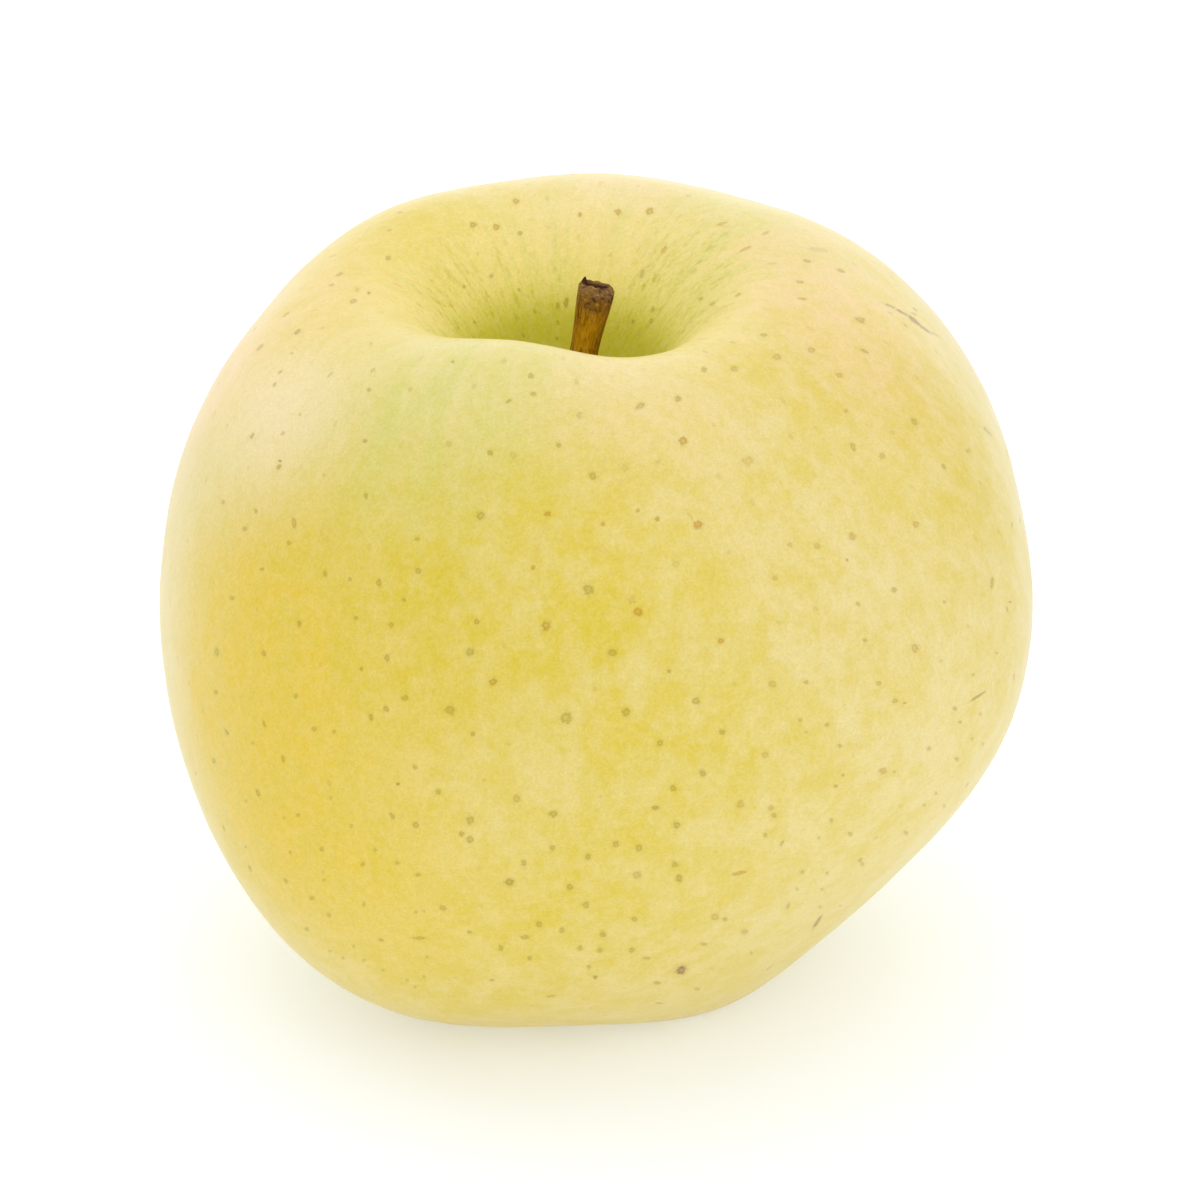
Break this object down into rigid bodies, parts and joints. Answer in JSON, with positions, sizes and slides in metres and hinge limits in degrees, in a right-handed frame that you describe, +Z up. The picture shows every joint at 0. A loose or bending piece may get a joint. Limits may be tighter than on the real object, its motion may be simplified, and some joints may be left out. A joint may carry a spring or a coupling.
{
  "type": "whole apple",
  "caption": "Whole yellow apple with a short broken stalk in its cavity and a dried calyx underneath; stands on its ribbed foot.",
  "frame": {"origin": "middle of the bounding box at the plane the fruit stands on", "axes": "+Z up along the core; -Y towards the pictured side; +X towards the widest belly"},
  "size_m": [0.0774, 0.0768, 0.0671],
  "materials": {
    "skin": "waxy yellow fruit skin, satin, with small olive pores and a green tinge in the stalk cavity",
    "bark": "matt ochre-brown bark with a dark torn end",
    "husk": "dry grey-brown withered sepals"
  },
  "bodies": {
    "root": {"fruit": "skin", "stalk": "bark", "calyx": "husk"}
  },
  "joints": []
}
